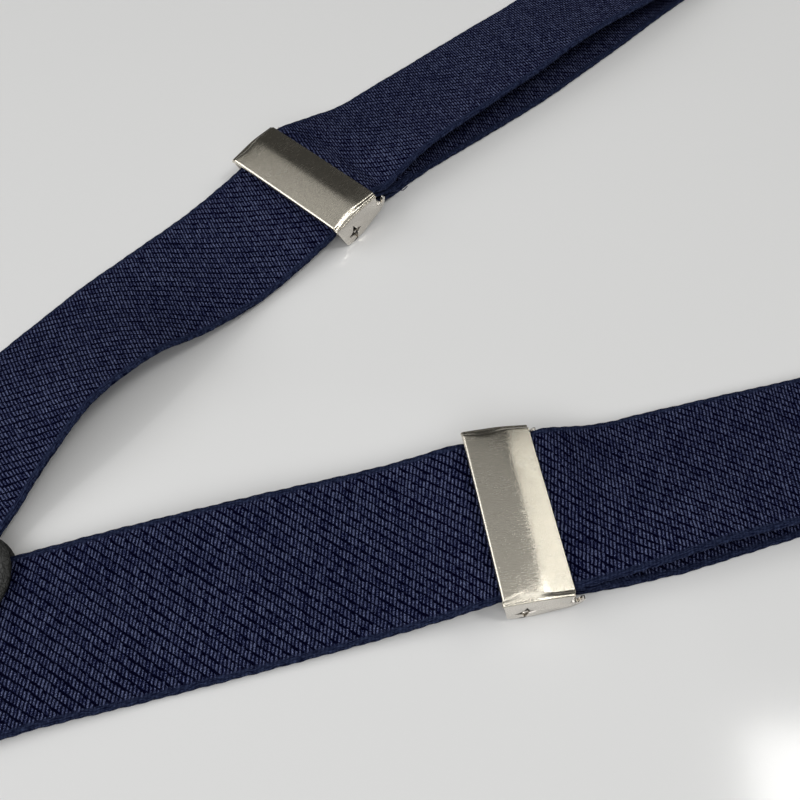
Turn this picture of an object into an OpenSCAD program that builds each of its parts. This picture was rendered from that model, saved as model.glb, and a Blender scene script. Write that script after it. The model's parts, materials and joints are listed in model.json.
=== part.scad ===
// X-back dress suspenders: two elastic straps crossed under a leather patch, with a
// flip-lock adjuster on each front strap and a lever clip on each of the four ends.
// The origin is the centre of the patch's underside, on the plane that the whole lies on.
// +X runs down the middle towards the front clips, +Y to the left strap, +Z up.

/* [Webbing] */
// Width of the elastic webbing
strap_w = 35; // [30:0.5:36]
// Thickness of the elastic webbing
strap_t = 1.3; // [1:0.1:1.6]

/* [Strap layout] */
// Length from the patch centre to each rear clip's bar
rear_len = 225; // [180:5:300]
// Length of straight strap from the start of the straight run to each front clip's bar
front_run = 335; // [280:5:420]
// Heading of the left strap where it crosses under the patch
left_patch_heading = 24; // [20:1:26]
// Heading of the left strap's straight run
left_heading = 6; // [4:1:8]
// Heading of the right strap
right_heading = -22; // [-24:1:-20]

/* [Leather patch] */
// Distance from the patch centre to the middle of each nose
nose_x = 40.5; // [38:0.5:44]
// Radius of the front and rear noses
nose_r = 10.5; // [8:0.5:12]
// Distance from the patch centre to the middle of each side corner
side_y = 23; // [20:0.5:26]
// Radius of the side corners
side_r = 16; // [12:0.5:18]
// Thickness of each leather
leather_t = 1.3; // [1:0.1:1.3]

/* [Flip-lock adjuster] */
// Width of the cover, across the strap
cover_w = 38; // [37.6:0.1:39]
// Length of the cover, along the strap
cover_l = 14.8; // [14:0.1:15.4]
// Height of the cover's edges over the base
cover_z = 7.9; // [7.7:0.1:8.4]
// Rise of the crease along the middle of the cover
crown = 0.8; // [0.4:0.1:1.2]
// Thickness of the stamped sheet
sheet_t = 0.8; // [0.6:0.1:0.8]

/* [Lever clip] */
// Length of the clip from its strap bar to its tip
clip_l = 47; // [45:0.5:50]
// Width of the clip's body
clip_w = 30; // [28:0.5:30]
// Thickness of the clip's back plate
plate_t = 0.9; // [0.7:0.1:1]
// Height of the lever's hinge over the table
hinge_z = 6; // [6:0.1:6.4]

/* [Hidden] */
SIDES = ["left", "right"];
SIDE_PARTS = ["strap_rear", "strap_rear_end", "strap_front", "strap_top_run", "strap_turn",
    "strap_return", "strap_sewn_end", "adjuster_frame", "adjuster_support", "adjuster_sewn_bar",
    "adjuster_cover", "adjuster_hinge_pins"];
CLIPS = ["front_left", "front_right", "rear_right", "rear_left"];
CLIP_PARTS = ["clip_back", "clip_strap_bar", "clip_back_pad", "clip_lever", "clip_pin", "clip_cam_pad"];

$fn = 32;
layer_gap = 0.1;
half_w = strap_w / 2;
mid_z = strap_t / 2;

// Heights of the middle of each strap where they cross between the leathers
right_cross_z = leather_t + layer_gap + mid_z;
left_cross_z = right_cross_z + strap_t + layer_gap;
patch_top_z = left_cross_z + mid_z + layer_gap;

// Bars that the straps fold round
clip_bar_r = 0.9;
clip_turn_r = clip_bar_r + 0.2;
clip_bar_z = clip_turn_r + strap_t;
sewn_bar_r = 0.8;
sewn_turn_r = sewn_bar_r + 0.1;

// Adjusters, side 0 left and side 1 right: place on the table, heading, and the pitch
// that lifts the clip end, then the lift that keeps the base clear of the table
adjuster_xy = [[153, 48.8], [138.5, -53.8]];
adjuster_heading = [13.7, -25.2];
adjuster_pitch = [5, -6];
adjuster_lift = [0.5, 0.5];

// Adjuster profile points, [along the strap, height], before the pitch
flip_hinge = [-6.3, 6.5];
support_bar = [-1.8, 2.4];
sewn_bar = [7.9, 3.4];
ear_in = 18.15;
ear_out = ear_in + sheet_t;

// Strap heading and the two ends of each straight front run
heading = [left_heading, right_heading];
run_start = [[190, 55.8], [178.2, -69.1]];

// Clip profile
arm_in = 18;
arm_out = 19.2;
clip_hinge = [clip_l - 4.7, hinge_z];
clip_pin_r = 0.9;
pad_top = 2.2;

function unit(a) = [cos(a), sin(a)];
function side_bar(s) = run_start[s] + front_run * unit(heading[s]);

// A point [u, z] of an adjuster's profile after its pitch and lift
function pitched(s, p) = [
    p[0] * cos(adjuster_pitch[s]) - p[1] * sin(adjuster_pitch[s]),
    p[0] * sin(adjuster_pitch[s]) + p[1] * cos(adjuster_pitch[s]) + adjuster_lift[s]
];
// The same point as a strap station [x, y, z, roll]
function in_adjuster(s, p) =
    let (q = pitched(s, p), xy = adjuster_xy[s] + q[0] * unit(adjuster_heading[s]))
    [xy[0], xy[1], q[1], 0];
// A strap station at a distance before the front clip's bar
function before_bar(s, d, z) =
    let (xy = side_bar(s) - d * unit(heading[s])) [xy[0], xy[1], z, 0];

// Smooth curve through stations, with a number of steps in each span
function station(p, i) = p[max(0, min(len(p) - 1, i))];
function blend(a, b, c, d, t) =
    0.5 * ((2 * b) + (c - a) * t + (2 * a - 5 * b + 4 * c - d) * t * t
    + (3 * b - a - 3 * c + d) * t * t * t);
function route(p, steps) = concat(
    [for (i = [0 : len(p) - 2]) for (j = [0 : steps - 1])
        blend(station(p, i - 1), p[i], p[i + 1], station(p, i + 2), j / steps)],
    [p[len(p) - 1]]);

// Flat strap swept along its stations, each [x, y, middle height, roll], with the headings
// of its first and last faces, so that neighbouring stretches meet face to face
module ribbon(stations, first, last_heading) {
    r = route(stations, 4);
    n = len(r);
    across = [for (i = [0 : n - 1])
        let (d = r[min(n - 1, i + 1)] - r[max(0, i - 1)],
            h = i == 0 ? first : i == n - 1 ? last_heading : atan2(d[1], d[0]))
        [-sin(h), cos(h), 0]];
    corners = [for (i = [0 : n - 1]) for (k = [[1, 1], [-1, 1], [-1, -1], [1, -1]])
        let (c = cos(r[i][3]), s = sin(r[i][3]))
        [r[i][0], r[i][1], r[i][2]]
        + k[0] * half_w * (across[i] * c + [0, 0, s])
        + k[1] * mid_z * ([0, 0, c] - across[i] * s)];
    last = 4 * (n - 1);
    polyhedron(corners, concat(
        [[0, 1, 2], [0, 2, 3], [last + 2, last + 1, last], [last + 3, last + 2, last]],
        [for (i = [0 : n - 2]) for (k = [0 : 3])
            [4 * i + k, 4 * i + 4 + k, 4 * i + (k + 1) % 4]],
        [for (i = [0 : n - 2]) for (k = [0 : 3])
            [4 * i + 4 + k, 4 * i + 4 + (k + 1) % 4, 4 * i + (k + 1) % 4]]));
}

// Prism of a profile [along, height], centred across the strap
module across_strap(profile, width) {
    rotate([90, 0, 0])
        linear_extrude(height = width, center = true)
            polygon(profile);
}

// Rod across the strap at a profile point
module rod(p, r, width) {
    translate([p[0], 0, p[1]])
        rotate([90, 0, 0])
            cylinder(h = width, r = r, center = true);
}

// Two copies of a sheet, one on each side of the strap, between two distances out
module both_sides(inner, outer) {
    for (m = [0, 1])
        mirror([0, m, 0])
            translate([0, (inner + outer) / 2, 0])
                children();
}

module at_adjuster(s) {
    translate([adjuster_xy[s][0], adjuster_xy[s][1], 0])
        rotate([0, 0, adjuster_heading[s]])
            children();
}

module on_adjuster(s) {
    at_adjuster(s)
        translate([0, 0, adjuster_lift[s]])
            rotate([0, -adjuster_pitch[s], 0])
                children();
}

module at_front_bar(s) {
    translate([side_bar(s)[0], side_bar(s)[1], 0])
        rotate([0, 0, heading[s]])
            children();
}

// Rear ends: the left strap goes back to the right, and the right strap to the left
rear_heading = [left_patch_heading, right_heading];
module at_rear_bar(s) {
    rotate([0, 0, rear_heading[s] + 180])
        translate([rear_len, 0, 0])
            children();
}

// ---- Straps ----

// Station under the front of the patch, where the rear and front stretches meet
patch_seam = 35;
function under_patch(s) =
    let (xy = patch_seam * unit(rear_heading[s]))
    [xy[0], xy[1], s == 0 ? left_cross_z : right_cross_z, 0];

// Strap from the rear clip's bar to under the front of the patch
module strap_rear(s) {
    cross_z = under_patch(s)[2];
    top = clip_bar_z + clip_turn_r + mid_z;
    levels = [[-rear_len, top], [-rear_len + 6, top - 0.7], [-rear_len + 16, strap_t + layer_gap + mid_z],
        [-rear_len + 32, strap_t + layer_gap + mid_z], [-rear_len + 44, mid_z], [-90, mid_z],
        [-72, mid_z + 0.2], [-52, cross_z - 0.2], [-40, cross_z], [-20, cross_z]];
    color("midnightblue")
        ribbon(concat(
            [for (l = levels)
                let (xy = l[0] * unit(rear_heading[s])) [xy[0], xy[1], l[1], 0]],
            [under_patch(s)]), rear_heading[s], rear_heading[s]);
}

// End of the strap, folded under the rear clip's bar and sewn
module strap_rear_end(s) {
    color("midnightblue")
        at_rear_bar(s) {
            half_turn(clip_bar_z, clip_turn_r);
            translate([-15, 0, mid_z])
                cube([30, strap_w, strap_t], center = true);
        }
}

// Half turn of webbing on the far side of a bar
module half_turn(z, inner_r) {
    difference() {
        rod([0, z], inner_r + strap_t, strap_w);
        rod([0, z], inner_r, strap_w + 1);
        translate([-5, 0, z])
            cube([10, strap_w + 1, 12], center = true);
    }
}

// Single strap in loose waves from the patch to the adjuster
left_front = [[45, 20.5, 3.5, -0.8], [59, 27, 4.5, -9], [75, 32.5, 6.2, -16],
    [92, 37, 5.6, -14], [106, 39.6, 3.2, -6], [120, 42, 1.7, -1], [133, 44.4, 2.2, 0]];
right_front = [[48, -18.6, 2.05, 0.3], [67, -26, 2.4, 5],
    [86, -33.4, 2.9, 6], [104, -40.2, 2.8, 4], [118, -45.4, 3.2, 1]];
module strap_front(s) {
    color("midnightblue")
        ribbon(concat([under_patch(s)], s == 0 ? left_front : right_front, [in_adjuster(s, [-9, 3.9])]),
            rear_heading[s], adjuster_heading[s]);
}

// Upper run, through the adjuster and out to the front clip. It bends onto its straight
// line within bend_reach of the adjuster's middle.
bend_reach = 38;
module strap_top_run(s) {
    top = clip_bar_z + clip_turn_r + mid_z;
    exit = [for (d = [[13, 5.9], [19, 4.7], [27, 3.6], [38, 2.5]])
        let (xy = adjuster_xy[s] + d[0] * unit(adjuster_heading[s])
            + pow(d[0] / bend_reach, 2)
            * (run_start[s] - adjuster_xy[s] - bend_reach * unit(adjuster_heading[s])))
        [xy[0], xy[1], d[1], 0]];
    color("midnightblue")
        ribbon(concat(
            [for (p = [[-9, 3.9], [-6, 4.1], [-2, 4.3], [3, 5.1], [7.9, 6.4]]) in_adjuster(s, p)],
            exit,
            [for (d = [280, 200, 120, 40]) before_bar(s, d, 2.25)],
            [before_bar(s, 20, 2.5), before_bar(s, 8, top - 0.5), before_bar(s, 0, top)]),
            adjuster_heading[s], heading[s]);
}

// Turn of the strap round the front clip's bar
module strap_turn(s) {
    color("midnightblue")
        at_front_bar(s)
            half_turn(clip_bar_z, clip_turn_r);
}

// Lower run, back from the turn to the sewn end
sewn_reach = 24;
module strap_return(s) {
    start = adjuster_xy[s] + sewn_reach * unit(adjuster_heading[s]);
    color("midnightblue")
        ribbon(concat(
            [[start[0], start[1], mid_z, 0]],
            [[run_start[s][0], run_start[s][1], mid_z, 0]],
            [for (d = [280, 200, 120, 40, 0]) before_bar(s, d, mid_z)]),
            adjuster_heading[s], heading[s]);
}

// End of the strap, folded round the adjuster's rear bar and sewn to itself
module strap_sewn_end(s) {
    bar = pitched(s, sewn_bar);
    low = bar[1] - sewn_turn_r - strap_t;
    high = bar[1] + sewn_turn_r;
    tab = strap_t + layer_gap;
    lap = 0.2;
    color("midnightblue")
        at_adjuster(s) {
            difference() {
                rod(bar, sewn_turn_r + strap_t, strap_w);
                rod(bar, sewn_turn_r, strap_w + 1);
                translate([bar[0] + 5, 0, bar[1]])
                    cube([10, strap_w + 1, 12], center = true);
            }
            across_strap([[bar[0] - lap, low], [bar[0], low], [sewn_reach - 8, 0], [sewn_reach, 0],
                [sewn_reach, strap_t], [sewn_reach - 8, strap_t], [bar[0], low + strap_t],
                [bar[0] - lap, low + strap_t]], strap_w);
            across_strap([[bar[0] - lap, high], [bar[0], high], [sewn_reach - 8, tab], [sewn_reach - 1, tab],
                [sewn_reach - 1, tab + strap_t], [sewn_reach - 8, tab + strap_t],
                [bar[0], high + strap_t], [bar[0] - lap, high + strap_t]], strap_w);
        }
}

// ---- Leather patch ----

module leather(z) {
    translate([0, 0, z])
        hull() {
            for (x = [-nose_x, nose_x])
                translate([x, 0, 0])
                    cylinder(h = leather_t, r = nose_r);
            for (y = [-side_y, side_y])
                translate([0, y, 0])
                    cylinder(h = leather_t, r = side_r);
        }
}

module patch_front() {
    color([0.12, 0.12, 0.11])
        leather(patch_top_z);
}

module patch_back() {
    color([0.1, 0.1, 0.09])
        leather(0);
}

// ---- Flip-lock adjusters ----

// Base plate, two ears with the sewn bar's hooks, bores for the hinge and the support bar
module adjuster_frame(s) {
    ear = [[-6.7, 7.15], [-7, 6.6], [-7.05, 6.3], [-5.4, 0.8], [-4.6, 0], [0.5, 0], [5, 1.1], [8, 1.7],
        [9.5, 2.9], [10.1, 4.6], [9.4, 5], [8.75, 4.2], [8.75, 3.4], [7.05, 3.4], [7.05, 7.15]];
    color("silver")
        on_adjuster(s)
            difference() {
                union() {
                    both_sides(ear_in, ear_out)
                        across_strap(ear, sheet_t);
                    translate([-4.6, -ear_out + 0.2, 0])
                        cube([5.1, 2 * ear_out - 0.4, sheet_t]);
                }
                rod(sewn_bar, sewn_bar_r + 0.05, 2 * ear_out + 1);
                rod(support_bar, 0.93, 2 * ear_out + 1);
                rod(flip_hinge, 0.45, 2 * ear_out + 1);
            }
}

// Rod under the strap, its ends staked in the ears
module adjuster_support(s) {
    color("silver")
        on_adjuster(s)
            rod(support_bar, 0.9, 2 * ear_out);
}

// Rod that the strap's end is sewn round
module adjuster_sewn_bar(s) {
    color("silver")
        on_adjuster(s)
            rod(sewn_bar, sewn_bar_r, 2 * ear_out);
}

// Cover with its crease, front lip, toothed bite and two hinge tabs
module adjuster_cover(s) {
    h = cover_l / 2;
    skin = 0.6;
    top = [[-h, 7.2], [-h, cover_z], [0.6, cover_z + crown], [h, cover_z],
        [h, cover_z - skin], [0.6, cover_z + crown - skin], [-h + skin, cover_z - skin], [-h + skin, 7.2]];
    lip = [[-h, 6.9], [-h, cover_z - 0.2], [-h + skin, cover_z - 0.2], [-h + skin, 6.9]];
    bite = [[-h + 0.1, 7.5], [-6.2, 7.6], [-2.8, 5.7], [-3.1, 5.25], [-3.7, 5.4], [-h + 0.3, 7.1]];
    tab = [[-6.9, 7.5], [-6.8, 6.2], [-6.3, 5.8], [-5.7, 6.2], [-4.6, 7.6]];
    tooth = 1.6;
    color("gainsboro")
        on_adjuster(s)
            difference() {
                union() {
                    across_strap(top, cover_w);
                    across_strap(lip, 2 * ear_in - 0.6);
                    across_strap(bite, 2 * half_w - 1);
                    both_sides(17.65, 18)
                        across_strap(tab, 0.35);
                }
                rod(flip_hinge, 0.45, 2 * ear_in - 0.2);
                for (y = [-16 : tooth : 16])
                    translate([-3, y, 5.3])
                        rotate([45, 0, 0])
                            cube([2, 0.5, 0.5], center = true);
            }
}

// Pair of short hinge pins between the cover's tabs and the ears
module adjuster_hinge_pins(s) {
    color("silver")
        on_adjuster(s)
            both_sides(17.65, ear_out - 0.2)
                rod(flip_hinge, 0.4, ear_out - 0.2 - 17.65);
}

// ---- Lever clips, along +X from their strap bar ----

module clip_back() {
    h = clip_w / 2;
    plate = [[5.5, -arm_out], [11, -arm_out], [18, -h], [clip_l - 3, -h], [clip_l, -h + 3],
        [clip_l, h - 3], [clip_l - 3, h], [18, h], [11, arm_out], [5.5, arm_out]];
    ear = [[clip_hinge[0] - 5, 0.2], [clip_hinge[0] - 1.7, hinge_z], [clip_hinge[0] - 1.1, hinge_z + 1.3],
        [clip_hinge[0] + 0.9, hinge_z + 1.3], [clip_hinge[0] + 1.5, hinge_z], [clip_hinge[0] + 1.5, 0.2]];
    arm = [[0, 0.5], [9, 0], [9, 1.2], [1.8, 3.6], [0, 4.3]];
    color("silver")
        difference() {
            union() {
                linear_extrude(height = plate_t)
                    polygon(plate);
                both_sides(h - 0.8, h)
                    across_strap(ear, 0.8);
                both_sides(arm_in, arm_out) {
                    across_strap(arm, arm_out - arm_in);
                    rod([0, clip_bar_z], 2.1, arm_out - arm_in);
                }
            }
            rod([0, clip_bar_z], clip_bar_r + 0.03, 2 * arm_out + 1);
            rod(clip_hinge, clip_pin_r + 0.05, clip_w + 1);
        }
}

module clip_strap_bar() {
    color("silver")
        rod([0, clip_bar_z], clip_bar_r, 2 * arm_out);
}

// Ribbed grip pad on the back plate
module clip_back_pad() {
    color([0.08, 0.08, 0.09]) {
        translate([clip_l - 10.5, -12, plate_t])
            cube([9, 24, pad_top - plate_t - 0.3]);
        for (x = [clip_l - 9.5 : 1.4 : clip_l - 2.4])
            intersection() {
                rod([x, pad_top - 0.5], 0.5, 24);
                translate([x - 1, -13, plate_t])
                    cube([2, 26, 3]);
            }
    }
}

// Domed lever with side flanges and the cam that closes on the waistband
module clip_lever() {
    p = clip_hinge;
    dome = [[p[0] + 1.8, 8], [p[0] + 1.8, 8.5], [p[0] - 0.5, 9.3], [26, 9.8], [13, 8.7], [8.6, 7],
        [8.9, 6.3], [13.3, 7.9], [26, 9], [p[0] - 0.8, 8.5]];
    lip = [[p[0] + 1.4, 6.4], [p[0] + 2.1, 6.4], [p[0] + 2.1, 8], [p[0] + 1.6, 8.5], [p[0] + 1, 8.2]];
    flange = [[p[0] + 1.6, 5], [p[0] + 1.9, 8.3], [p[0] - 0.5, 9.2], [26, 9.6], [18, 9], [20, 7.2],
        [p[0] - 2, 4.4], [p[0], 4.2]];
    cam = [[p[0] - 1.6, 8.6], [p[0] - 1.6, 6], [p[0] - 1.4, 3.6], [p[0] + 0.4, 3.4], [p[0] + 1.5, 6],
        [p[0] + 1.6, 8.2]];
    color("gainsboro")
        difference() {
            union() {
                across_strap(dome, clip_w + 2.2);
                across_strap(lip, clip_w - 2.4);
                both_sides(clip_w / 2 + 0.3, clip_w / 2 + 1.1)
                    across_strap(flange, 0.8);
                across_strap(cam, 24);
            }
            rod(p, clip_pin_r + 0.05, clip_w + 4);
        }
}

// Hinge pin with its two ends flush in the flanges
module clip_pin() {
    color("silver")
        rod(clip_hinge, clip_pin_r, clip_w + 2.2);
}

// Toothed grip insert under the cam
module clip_cam_pad() {
    p = clip_hinge;
    teeth = [[p[0] - 1.35, 3.58], [p[0] - 1.25, 2.9], [p[0] - 1, 2.6], [p[0] - 0.7, 2.9], [p[0] - 0.4, 2.6],
        [p[0] - 0.1, 2.9], [p[0] + 0.35, 3.4]];
    color([0.08, 0.08, 0.09])
        across_strap(teeth, 23);
}

// Clips 0 and 1 hang on the front turns, 2 and 3 on the rear ends of the left and right straps
module at_clip(c) {
    if (c < 2)
        at_front_bar(c)
            children();
    else
        at_rear_bar(c - 2)
            children();
}

patch_front();
patch_back();
for (s = [0, 1]) {
    strap_rear(s);
    strap_rear_end(s);
    strap_front(s);
    strap_top_run(s);
    strap_turn(s);
    strap_return(s);
    strap_sewn_end(s);
    adjuster_frame(s);
    adjuster_support(s);
    adjuster_sewn_bar(s);
    adjuster_cover(s);
    adjuster_hinge_pins(s);
}
for (c = [0 : 3]) {
    at_clip(c) clip_back();
    at_clip(c) clip_strap_bar();
    at_clip(c) clip_back_pad();
    at_clip(c) clip_lever();
    at_clip(c) clip_pin();
    at_clip(c) clip_cam_pad();
}
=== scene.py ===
# Looks of a pair of X-back dress suspenders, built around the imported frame.
# Layouts are in millimetres and become metres when a mesh is made. Along a strap or an
# adjuster, x runs from the patch to the clip, y to the left and z up.

import json
from math import acos, atan2, cos, degrees, dist, exp, hypot, log, pi, radians, sin, sqrt, tan

import bmesh
import bpy
import numpy as np
from mathutils import Matrix, Vector

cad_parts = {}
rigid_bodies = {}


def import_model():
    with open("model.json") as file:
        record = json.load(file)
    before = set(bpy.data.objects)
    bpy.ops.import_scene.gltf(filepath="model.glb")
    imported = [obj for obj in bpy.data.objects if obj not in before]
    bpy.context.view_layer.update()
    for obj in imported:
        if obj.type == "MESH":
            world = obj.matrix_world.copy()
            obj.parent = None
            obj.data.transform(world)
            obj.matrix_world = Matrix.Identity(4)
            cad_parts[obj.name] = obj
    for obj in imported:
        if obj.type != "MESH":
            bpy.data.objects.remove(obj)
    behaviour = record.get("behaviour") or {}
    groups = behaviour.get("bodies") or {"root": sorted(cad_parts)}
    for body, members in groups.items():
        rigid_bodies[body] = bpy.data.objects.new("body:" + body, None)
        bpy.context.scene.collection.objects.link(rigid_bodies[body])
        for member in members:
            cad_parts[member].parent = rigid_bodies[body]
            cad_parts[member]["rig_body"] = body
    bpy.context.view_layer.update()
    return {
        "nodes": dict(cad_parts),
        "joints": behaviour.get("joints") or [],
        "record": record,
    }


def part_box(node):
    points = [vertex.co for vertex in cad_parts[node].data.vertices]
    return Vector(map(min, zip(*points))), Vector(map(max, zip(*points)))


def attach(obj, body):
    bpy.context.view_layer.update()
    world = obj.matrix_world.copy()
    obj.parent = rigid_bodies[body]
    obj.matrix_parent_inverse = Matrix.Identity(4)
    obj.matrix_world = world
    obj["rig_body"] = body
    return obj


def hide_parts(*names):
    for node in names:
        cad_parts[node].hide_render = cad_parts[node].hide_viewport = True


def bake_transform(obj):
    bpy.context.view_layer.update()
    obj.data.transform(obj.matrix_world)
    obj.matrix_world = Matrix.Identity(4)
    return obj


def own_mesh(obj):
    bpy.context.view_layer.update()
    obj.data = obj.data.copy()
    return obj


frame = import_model()

MM = 0.001
UP = Vector((0, 0, 1))
SIDES = ("left", "right")
FRONT_CLIP = {"left": "front_left", "right": "front_right"}
REAR_CLIP = {"left": "rear_right", "right": "rear_left"}
JOINTS = {j["name"]: j for j in frame["joints"]}

# Webbing
STRAP_W = 35.0
STRAP_T = 1.3
HALF_W = STRAP_W / 2
MID_Z = STRAP_T / 2
LAYER_GAP = 0.1
SEWN_REACH = 24.0
REAR_TAB = 30.0

# Webbing's cross-section from the middle to the selvage: distance out, height of the face
SECTION = ((0, 0.65), (4, 0.65), (8, 0.65), (12, 0.64), (14.6, 0.62), (15.6, 0.58), (15.95, 0.54),
           (16.3, 0.64), (16.7, 0.70), (17.1, 0.60), (17.4, 0.34), (17.5, 0))
FINE_STEP = 0.6
COARSE_STEP = 1.6


# ---- places

def unit(heading):
    """Horizontal unit vector with a heading in degrees from +X to +Y."""
    return Vector((cos(radians(heading)), sin(radians(heading)), 0))


def heading_of(vector):
    return degrees(atan2(vector[1], vector[0]))


def joint_point(name):
    return Vector(JOINTS[name]["pos_m"]) / MM


def joint_axis(name):
    return Vector(JOINTS[name]["axis"])


def front_bar(side):
    """A front clip's bar, and the direction of the straight run to it."""
    return joint_point(FRONT_CLIP[side] + "_clip_swing"), joint_axis(side + "_strap_length")


def middle(node):
    low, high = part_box(node)
    return (low + high) / 2 / MM


# The hinge and the sewn bar in an adjuster's own layout, (x, z)
HINGE = (-6.3, 6.5)
SEWN_BAR = (7.9, 3.4)


def adjuster_axes(side):
    """An adjuster's origin and its three axes, from its hinge and its sewn bar."""
    hinge = joint_point(side + "_adjuster_flip")
    across = -joint_axis(side + "_adjuster_flip")
    along = across.cross(UP)
    reach = middle(side + "_adjuster_sewn_bar") - hinge
    own = atan2(SEWN_BAR[1] - HINGE[1], SEWN_BAR[0] - HINGE[0])
    pitch = atan2(reach.z, reach.dot(along)) - own
    x_axis = along * cos(pitch) + UP * sin(pitch)
    z_axis = UP * cos(pitch) - along * sin(pitch)
    return hinge - x_axis * HINGE[0] - z_axis * HINGE[1], x_axis, across, z_axis


def layout(origin, x_axis, y_axis, z_axis):
    """Matrix from a layout's millimetres to the frame's metres."""
    columns = [Vector(a) * MM for a in (x_axis, y_axis, z_axis, origin)]
    return Matrix([[c[i] for c in columns] for i in range(3)] + [[0, 0, 0, 1]])


def adjuster_layout(side):
    return layout(*adjuster_axes(side))


def bar_layout(clip):
    """Layout at a clip's strap bar: origin on the table under it, x away from the strap."""
    bar = joint_point(clip + "_clip_swing")
    across = -joint_axis(clip + "_clip_swing")
    return layout(Vector((bar.x, bar.y, 0)), across.cross(UP), across, UP)


# ---- meshes

def in_scene(name, data):
    """Object that holds some data, linked to the scene."""
    made = bpy.data.objects.new(name, data)
    bpy.context.scene.collection.objects.link(made)
    return made


def paint(piece, material):
    piece.data.materials.clear()
    piece.data.materials.append(material)


def new_object(name, vertices, faces, place=None, smooth=True):
    """Mesh object from a layout's points; without a place they are already frame points."""
    place = place or Matrix.Scale(MM, 4)
    mesh = bpy.data.meshes.new(name)
    mesh.from_pydata([place @ Vector(v) for v in vertices], [], [list(f) for f in faces])
    mesh.validate()
    mesh.polygons.foreach_set("use_smooth", [smooth] * len(mesh.polygons))
    mesh.update()
    return in_scene(name, mesh)


def apply_modifiers(piece):
    bpy.context.view_layer.update()
    depsgraph = bpy.context.evaluated_depsgraph_get()
    mesh = bpy.data.meshes.new_from_object(piece.evaluated_get(depsgraph))
    old = piece.data
    piece.modifiers.clear()
    piece.data = mesh
    mesh.name = old.name
    bpy.data.meshes.remove(old)


def shade(piece, angle=40):
    """Smooth shading with sharp edges above an angle."""
    piece.data.polygons.foreach_set("use_smooth", [True] * len(piece.data.polygons))
    piece.data.set_sharp_from_angle(angle=radians(angle))


def flat_map(piece, name, corners):
    """Gives a piece a flat map in metres, from millimetres at the corners of its faces."""
    layer = piece.data.uv_layers.new(name=name)
    layer.data.foreach_set("uv", (np.array(corners) * MM).ravel())


def bevel(piece, width, segments=2, angle=30):
    """Rounds a piece's hard edges and shades it by angle."""
    modifier = piece.modifiers.new("bevel", "BEVEL")
    modifier.width = width * MM
    modifier.segments = segments
    modifier.limit_method = "ANGLE"
    modifier.angle_limit = radians(angle)
    apply_modifiers(piece)
    shade(piece)
    return piece


def recalculate(piece):
    mesh = bmesh.new()
    mesh.from_mesh(piece.data)
    bmesh.ops.remove_doubles(mesh, verts=mesh.verts, dist=1e-6)
    bmesh.ops.recalc_face_normals(mesh, faces=mesh.faces)
    mesh.to_mesh(piece.data)
    mesh.free()
    return piece


def prism(profile, low, high):
    """Vertices and faces of an (x, z) profile extruded across from y low to y high."""
    n = len(profile)
    vertices = [(x, y, z) for y in (low, high) for x, z in profile]
    faces = [list(range(n)), list(range(2 * n - 1, n - 1, -1))]
    faces += [(i, n + i, n + (i + 1) % n, (i + 1) % n) for i in range(n)]
    return vertices, faces


def merged(*solids):
    """Several lots of vertices and faces as one."""
    vertices, faces = [], []
    for v, f in solids:
        base = len(vertices)
        vertices += list(v)
        faces += [[i + base for i in face] for face in f]
    return vertices, faces


def skin(rows, count):
    """Faces of a closed tube through rows of count points each."""
    faces = []
    for i in range(rows - 1):
        for k in range(count):
            a, b = i * count + k, i * count + (k + 1) % count
            faces.append((a, a + count, b + count, b))
    last = (rows - 1) * count
    return faces + [tuple(range(count)), tuple(range(last + count - 1, last - 1, -1))]


THREAD_SIDES = 6


def tube(points, radius):
    """Vertices and faces of a round thread along points, with domed tips."""
    points = [Vector(p) for p in points]
    first, last = (points[0] - points[1]).normalized(), (points[-1] - points[-2]).normalized()
    rings = [points[0] + first * radius * 0.7, *points, points[-1] + last * radius * 0.7]
    radii = [radius * 0.55] + [radius] * len(points) + [radius * 0.55]
    count = len(rings)
    vertices = []
    previous = None
    for i, p in enumerate(rings):
        tangent = (rings[min(i + 1, count - 1)] - rings[max(i - 1, 0)]).normalized()
        seed = previous or (UP if abs(tangent.z) < 0.9 else Vector((1, 0, 0)))
        side = tangent.cross(seed).normalized()
        previous = side.cross(tangent).normalized()
        for k in range(THREAD_SIDES):
            a = 2 * pi * k / THREAD_SIDES
            vertices.append(tuple(p + (side * cos(a) + previous * sin(a)) * radii[i]))
    return vertices, skin(count, THREAD_SIDES)


# ---- webbing

def curve_through(stations, per_span=24):
    """Catmull-Rom curve through stations of any width."""
    p = np.array(stations, float)
    p = np.vstack([p[:1], p, p[-1:]])
    t = np.linspace(0, 1, per_span, endpoint=False)[:, None]
    spans = []
    for a, b, c, d in zip(p[:-3], p[1:-2], p[2:-1], p[3:]):
        spans.append(0.5 * (2 * b + (c - a) * t + (2 * a - 5 * b + 4 * c - d) * t ** 2
                            + (3 * b - a - 3 * c + d) * t ** 3))
    return np.vstack(spans + [p[-1:]])


def resampled(curve, fine=None):
    """The curve at even steps, which are finer between two x values."""
    length = np.concatenate([[0], np.cumsum(np.linalg.norm(np.diff(curve[:, :3], axis=0), axis=1))])
    stops = [0.0]
    while stops[-1] < length[-1]:
        x = np.interp(stops[-1], length, curve[:, 0])
        step = FINE_STEP if fine and fine[0] < x < fine[1] else COARSE_STEP
        stops.append(stops[-1] + step)
    stops[-1] = length[-1]
    if stops[-1] - stops[-2] < 0.2 * COARSE_STEP:
        stops.pop(-2)
    rows = np.column_stack([np.interp(stops, length, curve[:, k]) for k in range(curve.shape[1])])
    return rows, np.array(stops)


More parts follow.
